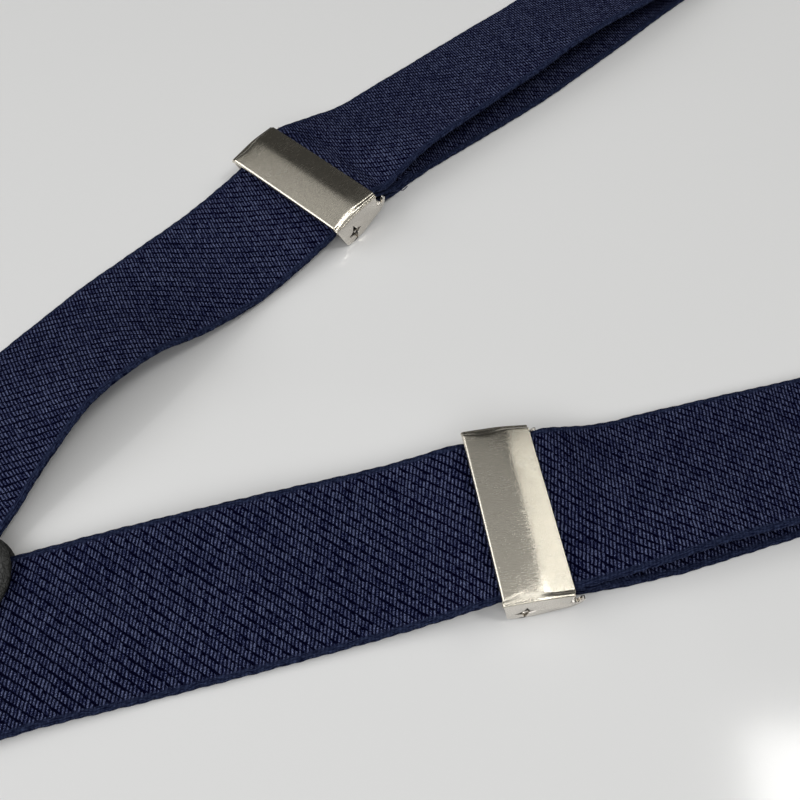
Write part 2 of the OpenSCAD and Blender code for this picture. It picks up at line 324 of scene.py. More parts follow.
def webbing(name, centre, sides, along, place=None, ripple=0.0):
    """Webbing swept along a centre line, with a flat map of the weave in metres.

    sides holds the direction across the strap at each point, and along the distance from
    the strap's rear end, so that the weave runs on from piece to piece."""
    centre, sides = np.array(centre, float), np.array(sides, float)
    out = [w for w, _ in SECTION]
    face = [h for _, h in SECTION]
    across = np.array([-w for w in out[:0:-1]] + out)
    height = np.array(face[:0:-1] + face)
    loop_w = np.concatenate([across, across[-2:0:-1]])
    loop_h = np.concatenate([height, -height[-2:0:-1]])
    tangent = np.gradient(centre, axis=0)
    tangent /= np.linalg.norm(tangent, axis=1)[:, None]
    normal = np.cross(tangent, sides)
    normal /= np.linalg.norm(normal, axis=1)[:, None]
    wave = 0.06 * np.sin(along * 2.1) + 0.05 * np.sin(along * 0.83 + 1.0)
    width = 1 + wave[:, None] / HALF_W * (np.abs(loop_w[None, :]) / HALF_W) ** 4
    lift = ripple * (1.5 + np.sin(along * 0.31))[:, None] * (loop_w[None, :] / HALF_W) ** 2
    lift += 0.5 * ripple * np.sin(along * 0.23 + 2)[:, None] * (loop_w[None, :] / HALF_W) ** 3
    points = (centre[:, None, :] + sides[:, None, :] * (loop_w[None, :] * width)[:, :, None]
              + normal[:, None, :] * (loop_h[None, :] + lift)[:, :, None])
    rows, count = points.shape[:2]
    faces = skin(rows, count)
    piece = new_object(name, points.reshape(-1, 3), faces, place)
    flat_map(piece, "weave", [(along[v // count], loop_w[v % count]) for face in faces for v in face])
    shade(piece, 60)
    return piece


def smoothed(values, reach):
    """Moving average over a few neighbours on each side."""
    padded = np.pad(values, reach, mode="edge")
    return np.convolve(padded, np.ones(2 * reach + 1) / (2 * reach + 1), mode="valid")


def flat_run(name, stations, fine=None, start=0.0, ripple=0.0, reach=7):
    """Webbing through stations [x, y, height, roll], and its length. Its heading is averaged
    over a reach of rows on each side."""
    rows, stops = resampled(curve_through(stations), fine)
    heading = np.gradient(rows[:, :2], axis=0)
    heading /= np.linalg.norm(heading, axis=1)[:, None]
    for _ in range(2):
        heading = np.column_stack([smoothed(heading[:, k], reach) for k in range(2)])
    heading /= np.linalg.norm(heading, axis=1)[:, None]
    roll = np.radians(rows[:, 3])
    sides = np.column_stack([-heading[:, 1] * np.cos(roll), heading[:, 0] * np.cos(roll), np.sin(roll)])
    piece = webbing(name, rows[:, :3], sides, stops + start, ripple=ripple)
    return piece, stops[-1]


END_BEND = 6.0


def bent_run(name, profile, place, start=0.0, turn=0.0):
    """Webbing along an (x, z) profile in a layout, its width along the layout's y. Its end
    turns to the left by some degrees."""
    rows, stops = resampled(np.array(profile, float))
    share = np.clip(1 - (stops[-1] - stops) / END_BEND, 0, 1)
    angle = radians(turn) * share
    drift = 0.5 * END_BEND * tan(radians(turn)) * share ** 2
    centre = np.column_stack([rows[:, 0], drift, rows[:, 1]])
    direction = np.column_stack([-np.sin(angle), np.cos(angle), np.zeros(len(rows))])
    piece = webbing(name, centre, direction, stops + start, place)
    return piece, stops[-1]


def arc(x, z, radius, start, end, count=14):
    """Points of an arc in the (x, z) plane, its angles from +x towards +z."""
    angles = np.radians(np.linspace(start, end, count))
    return [(x + radius * cos(a), z + radius * sin(a)) for a in angles]


def spaced(points, step=0.4):
    """Straight stretches between points, as points a step apart."""
    out = []
    for (a, b), (c, d) in zip(points, points[1:]):
        n = max(2, int(hypot(c - a, d - b) / step))
        out += [(a + (c - a) * i / n, b + (d - b) * i / n) for i in range(n)]
    return out + [points[-1]]


# Heights of the middle of each strap where they cross between the leathers
LEATHER_T = 1.3
CROSS_Z = {"right": LEATHER_T + LAYER_GAP + MID_Z}
CROSS_Z["left"] = CROSS_Z["right"] + STRAP_T + LAYER_GAP
UNDER_PATCH = 35.0

# Loose waves of each front strap from the patch to its adjuster: [x, y, height, roll]
FRONT_WAVES = {
    "left": [[45, 20.5, 3.5, -0.8], [59, 27, 4.5, -9], [75, 32.5, 6.2, -16], [92, 37, 5.6, -14],
             [106, 39.6, 3.2, -6], [120, 42, 1.7, -1], [133, 44.4, 2.2, 0]],
    "right": [[48, -18.6, 2.05, 0.3], [67, -26, 2.4, 5], [86, -33.4, 2.9, 6], [104, -40.2, 2.8, 4],
              [118, -45.4, 3.2, 1]],
}
# Upper run in an adjuster (x, height before the pitch)
IN_ADJUSTER = ((-9, 3.9), (-6, 4.1), (-2, 4.3), (3, 5.1), (7.9, 6.4))
# and on the way out of it: (x, height, roll)
OUT_OF_ADJUSTER = {
    "left": ((13, 5.9, 0), (19, 5.4, -5), (27, 5.0, -11), (38, 4.9, -13)),
    "right": ((13, 5.9, 0), (19, 5.2, -5), (27, 4.8, -10), (38, 4.6, -12)),
}
# The start of the straight run beyond the adjuster, and the run to the clip:
# (distance before the bar, height, roll, shift to the left)
STRAIGHT_START = {"left": (190, 55.8), "right": (178.2, -69.1)}
STRAIGHT_RUN = {
    "left": ((300, 5.5, -14, 0), (278, 6.2, -16, 0), (250, 5.4, -12, 0), (210, 3.0, -3, 0),
             (160, 2.25, 0, 0)),
    "right": ((305, 5.0, -12, 0), (280, 4.8, -11, 0), (250, 3.6, -6, 0), (210, 2.4, 0, 0),
              (160, 2.25, 0, 0)),
}
# Lower run: (distance before the bar, shift to the left)
LOWER_RUN = {
    "left": ((302, -1.9), (282, -1.5), (262, -0.8), (240, 0.3), (205, 0.8), (150, 0.3), (100, 0),
             (40, 0)),
    "right": ((315, -0.2), (290, 0), (262, -0.8), (220, -0.9), (170, -0.4), (120, 0), (40, 0)),
}
# The last stretch to the bar, shaped for the adjuster that reaches it at full length
NEAR_BAR = {
    "left": ((110, 2.25, 0, 0), (75, 2.5, 0, 0), (60, 3.0, 0, -0.6), (51.5, 3.5, 0, -1.1),
             (48.5, 4.0, 0, -0.8), (44.5, 4.5, 0, -0.3), (39.5, 5.8, 0, 0.4), (34.6, 7.6, 0, 1.05),
             (30, 7.35, 0, 0.9), (24, 6.4, 0, 0.5), (16, 5.4, 0, 0.2), (9, 4.7, 0, 0), (0, 4.15, 0, 0)),
    "right": ((110, 2.25, 0, 0), (80, 3.0, 0, 0), (66, 4.6, 0, 0.3), (56.5, 5.3, 0, 0.5),
              (53.5, 5.2, 0, 0.3), (49.5, 5.0, 0, 0.1), (44.5, 5.25, 0, -0.2), (39.6, 6.05, 0, -0.4),
              (34.5, 6.35, 0, -0.4), (28, 6.4, 0, -0.2), (20, 6.0, 0, 0), (9, 4.7, 0, 0), (0, 4.15, 0, 0)),
}
BAR_R = 0.9
TURN_R = BAR_R + 0.2
BAR_Z = TURN_R + STRAP_T
TOP_Z = BAR_Z + TURN_R + MID_Z
TURN_TAIL = 7.0


def strap_stations(side):
    """Stations of one strap, from the rear clip's bar to the front clip's bar."""
    rear_bar = joint_point(REAR_CLIP[side] + "_clip_swing")
    rear_len = hypot(rear_bar.x, rear_bar.y)
    rear_heading = heading_of(-rear_bar)
    over_tab = STRAP_T + LAYER_GAP + MID_Z
    cross = CROSS_Z[side]
    levels = [(-rear_len, TOP_Z), (-rear_len + 6, TOP_Z - 0.7), (-rear_len + 16, over_tab),
              (-rear_len + 32, over_tab), (-rear_len + 44, MID_Z), (-90, MID_Z), (-72, MID_Z + 0.2),
              (-52, cross - 0.2), (-40, cross), (-20, cross), (UNDER_PATCH, cross)]
    stations = [[*(unit(rear_heading) * s)[:2], z, 0] for s, z in levels]
    stations += FRONT_WAVES[side]
    origin, x_axis, across, z_axis = adjuster_axes(side)
    for x, z in IN_ADJUSTER:
        p = origin + x_axis * x + z_axis * z
        stations.append([p.x, p.y, p.z, 0])
    along = across.cross(UP)
    flat_origin = Vector((origin.x, origin.y, 0))
    reach = OUT_OF_ADJUSTER[side][-1][0]
    aim = Vector((*STRAIGHT_START[side], 0)) - flat_origin - along * reach
    for x, z, roll in OUT_OF_ADJUSTER[side]:
        p = flat_origin + along * x + aim * (x / reach) ** 2
        stations.append([p.x, p.y, z, roll])
    bar, run = front_bar(side)
    for d, z, roll, shift in STRAIGHT_RUN[side] + NEAR_BAR[side]:
        p = bar - run * d + UP.cross(run) * shift
        stations.append([p.x, p.y, z, roll])
    return stations


# ---- materials

class Graph:
    """Short spellings for a material's node tree."""

    def __init__(self, name):
        self.material = bpy.data.materials.new(name)
        self.material.use_nodes = True
        self.tree = self.material.node_tree
        self.shader = self.tree.nodes["Principled BSDF"]

    def node(self, kind, **settings):
        made = self.tree.nodes.new(kind)
        for key, value in settings.items():
            setattr(made, key, value)
        return made

    def feed(self, socket, value):
        if isinstance(value, bpy.types.NodeSocket):
            self.tree.links.new(value, socket)
        else:
            socket.default_value = value

    def value(self, kind, inputs, output=0, **settings):
        """An output of a new node, its inputs fed by name or number."""
        made = self.node(kind, **settings)
        for key, item in inputs.items():
            self.feed(made.inputs[key], item)
        return made.outputs[output]

    def math(self, operation, *values, clamp=False):
        return self.value("ShaderNodeMath", dict(enumerate(values)), operation=operation, use_clamp=clamp)

    def add(self, first, second, clamp=False):
        return self.math("ADD", first, second, clamp=clamp)

    def mul(self, first, second, clamp=False):
        return self.math("MULTIPLY", first, second, clamp=clamp)

    def centred(self, value):
        """A value from 0 to 1, moved to -0.5 to 0.5."""
        return self.math("SUBTRACT", value, 0.5)

    def smooth(self, value, low, high):
        """0 below low and 1 above high, with a smooth step between them."""
        return self.value("ShaderNodeMapRange", {"Value": value, "From Min": low, "From Max": high},
                          interpolation_type="SMOOTHSTEP")

    def mix(self, factor, first, second):
        return self.value("ShaderNodeMix", {0: factor, 6: first, 7: second}, 2, data_type="RGBA")

    def uv(self, name):
        return self.value("ShaderNodeUVMap", {}, uv_map=name)

    def place(self):
        """Point in the piece, in metres."""
        return self.value("ShaderNodeTexCoord", {}, "Object")

    def split(self, vector):
        made = self.node("ShaderNodeSeparateXYZ")
        self.feed(made.inputs[0], vector)
        return made.outputs

    def join(self, x, y, z=0.0):
        return self.value("ShaderNodeCombineXYZ", {0: x, 1: y, 2: z})

    def waves(self, x, y, pitch, bearing):
        """Distance along a bearing, in pitches."""
        turn = radians(bearing)
        return self.add(self.mul(x, cos(turn) / pitch), self.mul(y, sin(turn) / pitch))

    def noise(self, vector, scale, detail=2.0, roughness=0.5):
        return self.value("ShaderNodeTexNoise", {"Vector": vector, "Scale": scale, "Detail": detail,
                                                 "Roughness": roughness})

    def white(self, vector):
        return self.value("ShaderNodeTexWhiteNoise", {"Vector": vector}, noise_dimensions="3D")

    def bump(self, height, distance, strength):
        return self.value("ShaderNodeBump", {"Height": height, "Distance": distance, "Strength": strength})

    def set(self, **values):
        """Feeds the shader's own sockets; underscores stand for spaces."""
        for key, value in values.items():
            self.feed(self.shader.inputs[key.replace("_", " ")], value)
        return self.material


def rgb(red, green, blue):
    return (red, green, blue, 1.0)


# Twill: spacing and bearing of its ribs, and of the floats in a rib. A bearing is from the
# strap's x to the direction in which they repeat.
RIB_PITCH, RIB_BEARING = 1.62, 45.0
FLOAT_PITCH, FLOAT_BEARING = 0.73, -19.0


def elastic_weave():
    """Navy elastic twill: short floats in diagonal ribs, darker between them, with a painted highlight and
    painted glints on the floats, and a rolled selvage.
    """
    g = Graph("navy_elastic_weave")
    along, across, _ = g.split(g.uv("weave"))
    x = g.mul(along, 1000.0)
    y = g.mul(across, 1000.0)
    plane = g.join(x, y)
    wander = g.centred(g.noise(plane, 0.4, 2.0))
    wander_y = g.centred(g.noise(g.join(y, x), 0.45, 2.0))
    curl = g.centred(g.noise(plane, 2.6, 1.0))
    curl_y = g.centred(g.noise(g.join(y, x), 2.9, 1.0))
    xw = g.add(g.add(x, g.mul(wander, 0.45)), g.mul(curl, 0.34))
    yw = g.add(g.add(y, g.mul(wander_y, 0.55)), g.mul(curl_y, 0.44))
    ribs = g.waves(xw, yw, RIB_PITCH, RIB_BEARING)
    floats = g.waves(xw, yw, FLOAT_PITCH, FLOAT_BEARING)
    rib = g.math("FLOOR", ribs)
    phase = g.math("FRACT", ribs)
    pick = g.math("FLOOR", floats)
    in_pick = g.math("FRACT", floats)
    chance = g.white(g.join(pick, rib, 0.0))
    chance_two = g.white(g.join(rib, pick, 5.0))
    rise = g.smooth(phase, 0.0, 0.14)
    stop = g.add(0.68, g.mul(chance_two, 0.26))
    fall = g.smooth(phase, stop, g.add(stop, 0.14))
    rib_shape = g.mul(rise, g.math("SUBTRACT", 1.0, fall))
    pick_shape = g.math("POWER", g.math("SINE", g.mul(in_pick, pi)), 1.3)
    twill = g.mul(rib_shape, pick_shape)
    # selvage: a smooth rolled edge with fibres along it
    edge = g.math("ABSOLUTE", y)
    selvage = g.smooth(g.add(edge, g.mul(curl, 1.2)), 15.8, 16.5)
    fibres = g.noise(g.join(g.mul(x, 0.5), g.mul(y, 3.4)), 1.3, 3.0, 0.65)
    fibres = g.smooth(fibres, 0.3, 0.72)
    rolled = g.mul(fibres, g.add(0.45, g.mul(pick_shape, 0.5)), clamp=True)
    fibre = g.noise(plane, 4.6, 2.0, 0.65)
    # Painted highlight: the floats get a lighter colour with glints and sparkle from noise, standing in
    # for light on them
    painted_glint = g.smooth(fibre, 0.46, 0.66)
    painted_sparkle = g.add(g.mul(chance, 0.34), g.mul(painted_glint, 0.95))
    painted_float_highlight = g.mul(g.math("POWER", twill, 2.2), painted_sparkle)
    patches = g.noise(plane, 0.05, 3.0)
    painted_float_highlight = g.mul(painted_float_highlight, g.add(0.65, g.mul(patches, 0.6)), clamp=True)
    body = g.mix(twill, rgb(0.0, 0.0001, 0.0075), rgb(0.0010, 0.0026, 0.032))
    # The floats' painted highlight colour
    cloth = g.mix(painted_float_highlight, body, rgb(0.180, 0.212, 0.365))
    roll = g.mix(rolled, rgb(0.0008, 0.0016, 0.013), rgb(0.046, 0.062, 0.130))
    colour = g.mix(selvage, cloth, roll)
    height = g.add(g.mul(twill, g.math("SUBTRACT", 1.0, selvage)),
                    g.mul(rolled, g.mul(selvage, 0.7)))
    relief = g.add(height, g.mul(fibre, 0.35))
    return g.set(Base_Color=colour, Roughness=0.8, Specular_IOR_Level=0.03,
                 Normal=g.bump(relief, 0.00028, 1.0))


def thread():
    """Navy sewing thread with a fine ply."""
    g = Graph("navy_thread")
    place = g.place()
    ply = g.noise(place, 5200.0, 2.0)
    colour = g.mix(ply, rgb(0.006, 0.008, 0.026), rgb(0.055, 0.065, 0.125))
    return g.set(Base_Color=colour, Roughness=0.75, Specular_IOR_Level=0.1,
                 Normal=g.bump(ply, 0.00008, 0.8))


def patch_leather():
    """Olive-black leather with a pebbled grain."""
    g = Graph("patch_leather_grain")
    place = g.place()
    cells = g.value("ShaderNodeTexVoronoi", {"Vector": place, "Scale": 1150.0, "Randomness": 1.0},
                    feature="DISTANCE_TO_EDGE")
    pebble = g.smooth(cells, 0.0, 0.22)
    crease = g.noise(place, 420.0, 5.0, 0.62)
    pores = g.noise(place, 5200.0, 2.0, 0.6)
    tone = g.add(g.mul(crease, 0.7), g.mul(pebble, 0.3), clamp=True)
    colour = g.mix(tone, rgb(0.005, 0.005, 0.005), rgb(0.034, 0.035, 0.032))
    roughness = g.add(0.42, g.mul(pores, 0.3))
    height = g.add(g.add(g.mul(pebble, 0.7), g.mul(crease, 0.6)),
                    g.mul(pores, 0.15))
    return g.set(Base_Color=colour, Roughness=roughness, Specular_IOR_Level=0.45,
                 Normal=g.bump(height, 0.00022, 0.8))


def brushed_nickel(name, colour, roughness, stretch, scratches):
    """Warm nickel brushed along the "brush" map's first direction."""
    g = Graph(name)
    x, y, _ = g.split(g.uv("brush"))
    lines = g.noise(g.join(g.mul(x, 90.0 * stretch), g.mul(y, 90.0)), 100.0, 3.0, 0.65)
    broad = g.noise(g.join(x, y), 160.0, 3.0)
    fine = g.noise(g.join(g.mul(x, 250.0 * stretch), g.mul(y, 250.0)), 100.0, 2.0, 0.7)
    tarnish = g.smooth(g.noise(g.join(x, y), 420.0, 4.0, 0.6), 0.62, 0.75)
    worn = g.mix(g.mul(tarnish, 0.25), colour,
                 rgb(colour[0] * 0.72, colour[1] * 0.66, colour[2] * 0.6))
    rough = g.add(roughness, g.mul(g.centred(lines), scratches))
    rough = g.add(rough, g.mul(g.centred(broad), 0.08))
    grain = g.noise(g.join(x, y), 3200.0, 3.0, 0.7)
    height = g.add(g.add(lines, g.mul(fine, 0.4)), g.mul(grain, 1.1))
    return g.set(Base_Color=worn, Metallic=1.0, Roughness=rough, Normal=g.bump(height, 0.00004, 0.6))


def tumbled_nickel():
    """Nickel plate with a soft tumbled surface, for the rods, frames and clips."""
    g = Graph("tumbled_nickel")
    place = g.place()
    dents = g.noise(place, 900.0, 3.0, 0.55)
    grain = g.noise(place, 6500.0, 2.0, 0.6)
    stain = g.smooth(g.noise(place, 260.0, 4.0), 0.55, 0.8)
    colour = g.mix(g.mul(stain, 0.35), rgb(0.70, 0.665, 0.61), rgb(0.52, 0.48, 0.42))
    rough = g.add(0.2, g.mul(grain, 0.14))
    height = g.add(dents, g.mul(grain, 0.12))
    return g.set(Base_Color=colour, Metallic=1.0, Roughness=rough, Normal=g.bump(height, 0.00003, 0.5))


def grip_nylon():
    """Black moulded nylon, slightly dusty in its texture."""
    g = Graph("grip_nylon_moulded")
    place = g.place()
    grain = g.noise(place, 3800.0, 3.0, 0.6)
    dust = g.smooth(g.noise(place, 700.0, 4.0), 0.5, 0.75)
    colour = g.mix(g.mul(dust, 0.3), rgb(0.014, 0.014, 0.016), rgb(0.05, 0.05, 0.052))
    return g.set(Base_Color=colour, Roughness=0.5, Normal=g.bump(grain, 0.00005, 0.6))


WEAVE = elastic_weave()
THREAD = thread()
LEATHER = patch_leather()
COVER = brushed_nickel("cover_nickel_brushed", rgb(0.66, 0.62, 0.53), 0.25, 0.06, 0.16)
PLATE = tumbled_nickel()
NYLON = grip_nylon()
SLOT_MATERIALS = {"navy_elastic": WEAVE, "patch_leather": LEATHER, "cover_nickel": PLATE,
                  "frame_nickel": PLATE, "grip_nylon": NYLON}


def finish_piece(piece, material, body=None, replaces=()):
    """Gives a piece its material and body, and hides the CAD nodes that it stands for."""
    paint(piece, material)
    if body:
        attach(piece, body)
    if replaces:
        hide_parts(*replaces)
    return piece


# ---- straps

SEEN = (20.0, 300.0)
SEAM_HALF = 15.5


def stitch(start, end, lift=0.22, radius=0.17):
    """One raised stitch of thread between two points."""
    a, b = Vector(start), Vector(end)
    return tube([a, a.lerp(b, 0.2) + UP * lift, a.lerp(b, 0.8) + UP * lift, b], radius)


def stitch_row(start, end, pitch=2.4, share=0.72):
    """Stitches in a straight row between two points."""
    a, b = Vector(start), Vector(end)
    count = max(1, round((b - a).length / pitch))
    step = (b - a) / count
    return [stitch(a + step * i, a + step * (i + share)) for i in range(count)]


def make_strap(side):
    """The one long stretch of webbing from the rear bar, under the patch and through the
    adjuster to the front bar. It lengthens between the adjuster and the clip."""
    piece, length = flat_run(side + "_strap", strap_stations(side), SEEN, ripple=0.05, reach=13)
    finish_piece(piece, WEAVE,
                 replaces=[side + "_strap_rear", side + "_strap_front", side + "_strap_top_run"])
    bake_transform(piece)
    return length


def make_turn(side, start):
    """Half turn of the webbing round the front clip's bar, and the first of the lower run."""
    profile = arc(0, BAR_Z, TURN_R + MID_Z, 90, -90)[:-1] + spaced([(0, MID_Z), (-TURN_TAIL, MID_Z)])
    piece, length = bent_run(side + "_turn_of_strap", profile, bar_layout(FRONT_CLIP[side]), start)
    finish_piece(piece, WEAVE, side + "_turn", [side + "_strap_turn"])
    return start + length


def seam_turn(side):
    """Degrees to the left from an adjuster's heading to the direction that it slides in. The
    seam between the lower run and the sewn end lies square to the slide, so it stays closed."""
    across = -joint_axis(side + "_adjuster_flip")
    return heading_of(JOINTS[side + "_adjuster_slide"]["axis"]) - heading_of(across.cross(UP))


def make_return(side, start):
    """Lower run, from the front bar back to the sewn end. It shortens as the adjuster slides."""
    slide = JOINTS[side + "_adjuster_slide"]
    axis = Vector(slide["axis"])
    origin, _, across, _ = adjuster_axes(side)
    along = across.cross(UP)
    drift = 0.5 * END_BEND * tan(radians(seam_turn(side)))
    sewn = Vector((origin.x, origin.y, 0)) + along * SEWN_REACH + across * drift
    bar, run = front_bar(side)
    points = [sewn, sewn + axis * 5, sewn + axis * 9]
    points += [bar - run * d + UP.cross(run) * shift for d, shift in LOWER_RUN[side] + ((TURN_TAIL, 0),)]
    stations = [[p.x, p.y, MID_Z, 0] for p in points]
    piece, length = flat_run(side + "_return", stations, SEEN, start)
    finish_piece(piece, WEAVE, side + "_turn", [side + "_strap_return"])
    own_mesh(piece)
    return start + length


LOOSE_THREAD = [(14, -16.8, 2.3), (15, -17.7, 2.6), (16.2, -18.4, 2.4), (17, -19.3, 2.5),
                (18.2, -19.6, 3.1)]


def make_sewn_end(side, start):
    """End of the strap, folded round the adjuster's rear bar and sewn to itself."""
    origin, x_axis, across, z_axis = adjuster_axes(side)
    along = across.cross(UP)
    bar = x_axis * SEWN_BAR[0] + z_axis * SEWN_BAR[1]
    bar_x, bar_z = bar.dot(along), bar.z + origin.z
    radius = 0.8 + 0.1 + MID_Z
    tab_z = STRAP_T + LAYER_GAP + MID_Z
    place = layout(Vector((origin.x, origin.y, 0)), along, across, UP)
    profile = spaced([(SEWN_REACH - 1, tab_z), (SEWN_REACH - 8, tab_z), (bar_x, bar_z + radius)])[:-1]
    profile += arc(bar_x, bar_z, radius, 90, 270)
    profile += spaced([(bar_x, bar_z - radius), (SEWN_REACH - 8, MID_Z), (SEWN_REACH, MID_Z)])[1:]
    piece, length = bent_run(side + "_sewn_end", profile, place, start, seam_turn(side))
    finish_piece(piece, WEAVE, side + "_adjuster", [side + "_strap_sewn_end"])
    face = tab_z + MID_Z
    rows = []
    for x in (SEWN_REACH - 6.5, SEWN_REACH - 3.5):
        rows += stitch_row((x, -SEAM_HALF, face), (x, SEAM_HALF, face))
    if side == "left":
        rows.append(tube(LOOSE_THREAD, 0.13))
    stitches = new_object(side + "_sewn_end_stitches", *merged(*rows), place)
    finish_piece(stitches, THREAD, side + "_adjuster")


def make_rear_end(side):
    """Rear end of the strap, folded under the rear clip's bar and sewn."""
    place = bar_layout(REAR_CLIP[side])
    profile = arc(0, BAR_Z, TURN_R + MID_Z, 90, -90)[:-1]
    profile += spaced([(0, MID_Z), (-REAR_TAB, MID_Z)])
    piece, length = bent_run(side + "_rear_end", profile, place)
    finish_piece(piece, WEAVE, "root", [side + "_strap_rear_end"])
    face = STRAP_T + LAYER_GAP + STRAP_T - 0.02
    rows = []
    for x in (-17.0, -20.5, -28.0):
        rows += stitch_row((x, -SEAM_HALF, face), (x, SEAM_HALF, face))
    for y in (-SEAM_HALF, SEAM_HALF):
        rows += stitch_row((-28, y, face), (-17, y, face))
    stitches = new_object(side + "_rear_end_stitches", *merged(*rows), place)
    finish_piece(stitches, THREAD, "root")


for side in SIDES:
    reached = make_strap(side)
    reached = make_turn(side, reached)
    reached = make_return(side, reached)
    make_sewn_end(side, reached)
    make_rear_end(side)


# ---- leather patch

NOSE_R = 10.5
SIDE_R = 16.0
RELAX_ROUNDS = 900
SAG = 0.004
STITCH_INSET = 3.1
STITCH_PITCH = 2.6
STITCH_LENGTH = 1.9
STITCH_SINK = 0.14


def patch_outline():
    """Polar outline of the patch: angles, and distances from its centre."""
    _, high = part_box("patch_front")
    nose = high.x / MM - NOSE_R
    corner = high.y / MM - SIDE_R
    tilt = atan2(corner, nose)
    turn = degrees(acos((SIDE_R - NOSE_R) / hypot(nose, corner)) - tilt)
    points = arc(nose, 0, NOSE_R, -turn, turn, 40) + arc(0, corner, SIDE_R, turn, 180 - turn, 40)
    points += arc(-nose, 0, NOSE_R, 180 - turn, 180 + turn, 40)
    points += arc(0, -corner, SIDE_R, 180 + turn, 360 - turn, 40)
    points = np.array(spaced(points + points[:1], 0.5))
    angle = np.unwrap(np.arctan2(points[:, 1], points[:, 0]))
    return angle, np.hypot(points[:, 0], points[:, 1])


def draped_height(grid, spacing):
    """Height of the front leather's underside over the crossed straps, by relaxation."""
    x, y = np.meshgrid(grid, grid, indexing="ij")
    support = np.full(x.shape, LEATHER_T + 0.05)
    for side in SIDES:
        bar = joint_point(REAR_CLIP[side] + "_clip_swing")
        across = UP.cross(-bar.normalized())
        out = np.abs(x * across.x + y * across.y)
        top = CROSS_Z[side] + MID_Z + 0.12
        support = np.maximum(support, np.where(out < HALF_W + 0.3, top, 0))
    height = support.copy()
    for _ in range(RELAX_ROUNDS):
        mean = (np.roll(height, 1, 0) + np.roll(height, -1, 0)
                + np.roll(height, 1, 1) + np.roll(height, -1, 1)) / 4
        height = np.maximum(support, mean - SAG * spacing)
    return height


def leather_sheet(name, underside):
    """Leather cut to the patch's outline: a rolled edge, a bead inside it and a stitch channel."""
    angle, reach = patch_outline()
    turns = 220
    depths = [0.0, 0.06, 0.18, 0.36, 0.6, 0.85, 1.1, 1.35, 1.6, 1.9, 2.3, 2.7, 3.1, 3.5, 4.0, 5.0, 6.5]
    depths += list(np.linspace(8.5, 32, 16))
    angles = np.linspace(0, 2 * pi, turns, endpoint=False)
    radii = np.interp(angles, angle, reach, period=2 * pi)
    vertices, faces = [], []
    for top in (True, False):
        for d in depths:
            scale = 1 - d / 33.0
            rounding = LEATHER_T / 2 * (1 - sqrt(max(0, 1 - (1 - min(d, 0.6) / 0.6) ** 2)))
            bead = 0.24 * exp(-((d - 1.35) / 0.42) ** 2)
            bead -= 0.16 * exp(-((d - STITCH_INSET) / 0.45) ** 2)
            for a, r in zip(angles, radii):
                x, y = r * scale * cos(a), r * scale * sin(a)
                if d < 8:
                    x, y = (r - d) * cos(a), (r - d) * sin(a)
                low = underside(x, y)
                z = low + LEATHER_T - rounding + bead if top else low + rounding
                vertices.append((x, y, z))
        vertices.append((0, 0, underside(0, 0) + (LEATHER_T if top else 0)))
    rings = len(depths)
    lower = rings * turns + 1
    for base, flip in ((0, False), (lower, True)):
        centre = base + rings * turns
        for i in range(rings - 1):
            for k in range(turns):
                j = (k + 1) % turns
                ring = base + i * turns
                quad = (ring + k, ring + j, ring + turns + j, ring + turns + k)
                faces.append(quad[::-1] if flip else quad)
        last = base + (rings - 1) * turns
        for k in range(turns):
            tri = (last + k, last + (k + 1) % turns, centre)
            faces.append(tri[::-1] if flip else tri)
    for k in range(turns):
        j = (k + 1) % turns
        faces.append((lower + k, lower + j, j, k))
    piece = new_object(name, vertices, faces)
    return recalculate(piece), angles, radii


def make_patch():
    """Front leather draped over the crossed straps, back leather under them, and the stitches."""
    spacing = 1.0
    grid = np.arange(-60, 60 + spacing, spacing)
    height = draped_height(grid, spacing)

    def over(x, y):
        i, j = (x - grid[0]) / spacing, (y - grid[0]) / spacing
        a, b = int(i), int(j)
        s, t = i - a, j - b
        return ((height[a, b] * (1 - s) + height[a + 1, b] * s) * (1 - t)
                + (height[a, b + 1] * (1 - s) + height[a + 1, b + 1] * s) * t)

    front, angles, radii = leather_sheet("patch_front_leather", over)
    finish_piece(front, LEATHER, "root", ["patch_front"])
    back, _, _ = leather_sheet("patch_back_leather", lambda x, y: 0.0)
    finish_piece(back, LEATHER, "root", ["patch_back"])
    stitches = []
    radii = radii - STITCH_INSET
    ring = [(r * cos(a), r * sin(a)) for a, r in zip(angles, radii)]
    ring = spaced(ring + ring[:1], 0.25)
    walked, start = 0.0, None
    for (a, b), (c, d) in zip(ring, ring[1:]):
        phase = walked % STITCH_PITCH
        walked += hypot(c - a, d - b)
        if start is None and phase < 0.3:
            start = (a, b)
        if start is not None and phase > STITCH_LENGTH:
            z = over(*start) + LEATHER_T - STITCH_SINK
            stitches.append(stitch((*start, z), (c, d, over(c, d) + LEATHER_T - STITCH_SINK), 0.12, 0.2))
            start = None
    thread_ring = new_object("patch_stitches", *merged(*stitches))
    finish_piece(thread_ring, THREAD, "root")


make_patch()


# ---- adjusters

COVER_HALF_L = 7.4
COVER_HALF_W = 19.0
COVER_Z = 7.9
CROWN = 1.0
CREASE_X = 1.0
SKIN = 0.6
EAR_IN = 18.15
EAR_OUT = 18.95


def cover_height(x, y=0.0):
    """Height of the cover's outer face: two slopes that meet in a soft crease, which fades
    into a pillow shape near the ends."""
    front = (x + COVER_HALF_L) / (COVER_HALF_L + CREASE_X)
    rear = (COVER_HALF_L - x) / (COVER_HALF_L - CREASE_X)
    end = COVER_HALF_W - abs(y)
    fade = exp(-(end / 3.0) ** 2)
    soft = 0.12 + 0.08 * fade
    front += 0.16 * front * (1 - front)
    lower = -soft * log(exp(-front / soft) + exp(-rear / soft))
    return COVER_Z + CROWN * lower * (1 - 0.3 * fade) - 0.12 * (y / COVER_HALF_W) ** 2


